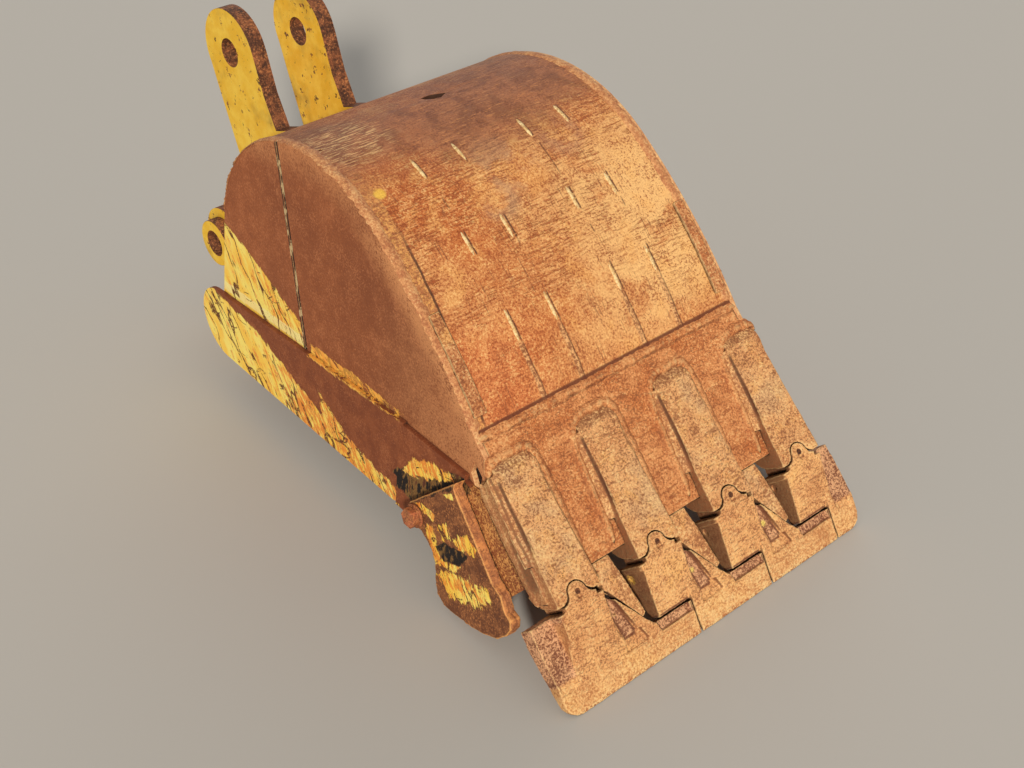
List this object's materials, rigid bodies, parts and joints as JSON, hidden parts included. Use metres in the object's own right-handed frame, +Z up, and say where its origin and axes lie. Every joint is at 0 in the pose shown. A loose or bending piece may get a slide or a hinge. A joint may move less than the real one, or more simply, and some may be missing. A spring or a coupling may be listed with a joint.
{
  "type": "excavator bucket",
  "caption": "Rolled-shell digging bucket with interlocking flat-blade tips on pinned adapters, bolted side cutters and a two-ear pin mount.",
  "frame": {"origin": "middle of the lower pin bore's axis, halfway between the two ears", "axes": "+X across the bucket along the pin axes, +Y from the tips toward the ears, +Z up, posed mouth down with the tips lowest as in the picture"},
  "size_m": [0.8172, 1.6533, 0.811],
  "materials": {
    "shell_rust": "orange-brown rust, smooth and scratched",
    "side_rust": "dark red-brown rust with patches of old yellow paint",
    "edge_paint": "old yellow paint, cracked and worn through to rust",
    "ear_paint": "yellow paint on the faces, rusty worn edges",
    "tooth_steel": "coarse orange-brown rust on cast steel",
    "dark_steel": "dark worn steel"
  },
  "bodies": {
    "root": {"wrapper": "shell_rust", "lip": "tooth_steel", "side_plate_left": "side_rust", "side_plate_right": "side_rust", "side_edge_left": "edge_paint", "side_edge_right": "edge_paint", "back_bar": "shell_rust", "ear_left": "ear_paint", "ear_right": "ear_paint", "pin_boss_left": "ear_paint", "pin_boss_right": "ear_paint", "adapter_1": "tooth_steel", "adapter_2": "tooth_steel", "adapter_3": "tooth_steel", "adapter_4": "tooth_steel", "tip_1": "tooth_steel", "tip_2": "tooth_steel", "tip_3": "tooth_steel", "tip_4": "tooth_steel", "lock_1": "dark_steel", "lock_2": "dark_steel", "lock_3": "dark_steel", "lock_4": "dark_steel", "side_cutter_left": "edge_paint", "side_cutter_right": "edge_paint", "cutter_bolts_left": "dark_steel", "cutter_bolts_right": "dark_steel", "heel_strip_left": "shell_rust", "heel_strip_right": "shell_rust"}
  },
  "joints": []
}
